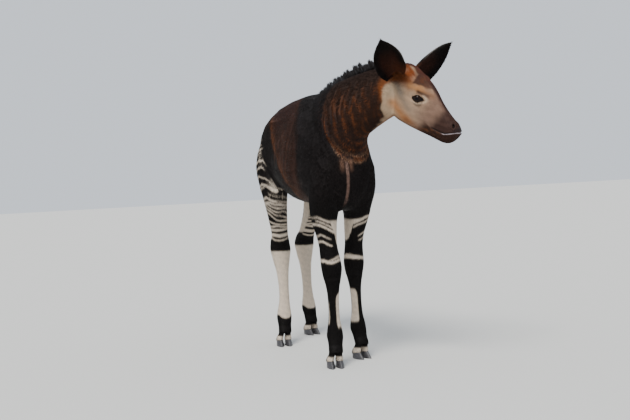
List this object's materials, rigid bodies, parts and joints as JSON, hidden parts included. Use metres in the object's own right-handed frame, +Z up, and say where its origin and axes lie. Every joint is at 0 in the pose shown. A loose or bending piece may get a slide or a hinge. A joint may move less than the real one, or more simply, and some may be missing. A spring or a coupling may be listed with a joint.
{
  "type": "okapi",
  "caption": "Young okapi standing with its head turned to its left, big leaf-shaped ears, short crest mane, striped legs and split hooves.",
  "frame": {"origin": "on the floor, under the middle of the bounding box", "axes": "-Y is the way the body faces, +X its left side, +Z up"},
  "size_m": [0.5716, 1.305, 1.3116],
  "materials": {
    "coat_body": "matte",
    "coat_neck": "matte",
    "coat_face": "matte",
    "coat_jaw": "matte",
    "coat_ear": "matte",
    "mane": "matte",
    "coat_foreleg": "matte",
    "coat_thigh": "matte",
    "coat_shank": "matte",
    "coat_foot": "matte",
    "hoof": "satin",
    "eye": "gloss"
  },
  "bodies": {
    "root": {"eye_right": "eye", "eye_left": "eye", "head": "coat_face", "lower_jaw": "coat_jaw", "neck": "coat_neck", "trunk": "coat_body", "foreleg_right_upper": "coat_foreleg", "foreleg_right_lower": "coat_foreleg", "foreleg_right_foot": "coat_foot", "foreleg_right_hoof_inner": "hoof", "foreleg_right_hoof_outer": "hoof", "foreleg_left_upper": "coat_foreleg", "foreleg_left_lower": "coat_foreleg", "foreleg_left_foot": "coat_foot", "foreleg_left_hoof_inner": "hoof", "foreleg_left_hoof_outer": "hoof", "hindleg_right_upper": "coat_thigh", "hindleg_right_lower": "coat_shank", "hindleg_right_foot": "coat_foot", "hindleg_right_hoof_inner": "hoof", "hindleg_right_hoof_outer": "hoof", "hindleg_left_upper": "coat_thigh", "hindleg_left_lower": "coat_shank", "hindleg_left_foot": "coat_foot", "hindleg_left_hoof_inner": "hoof", "hindleg_left_hoof_outer": "hoof", "ear_right": "coat_ear", "ear_left": "coat_ear", "mane": "mane", "tail": "coat_body"}
  },
  "joints": []
}
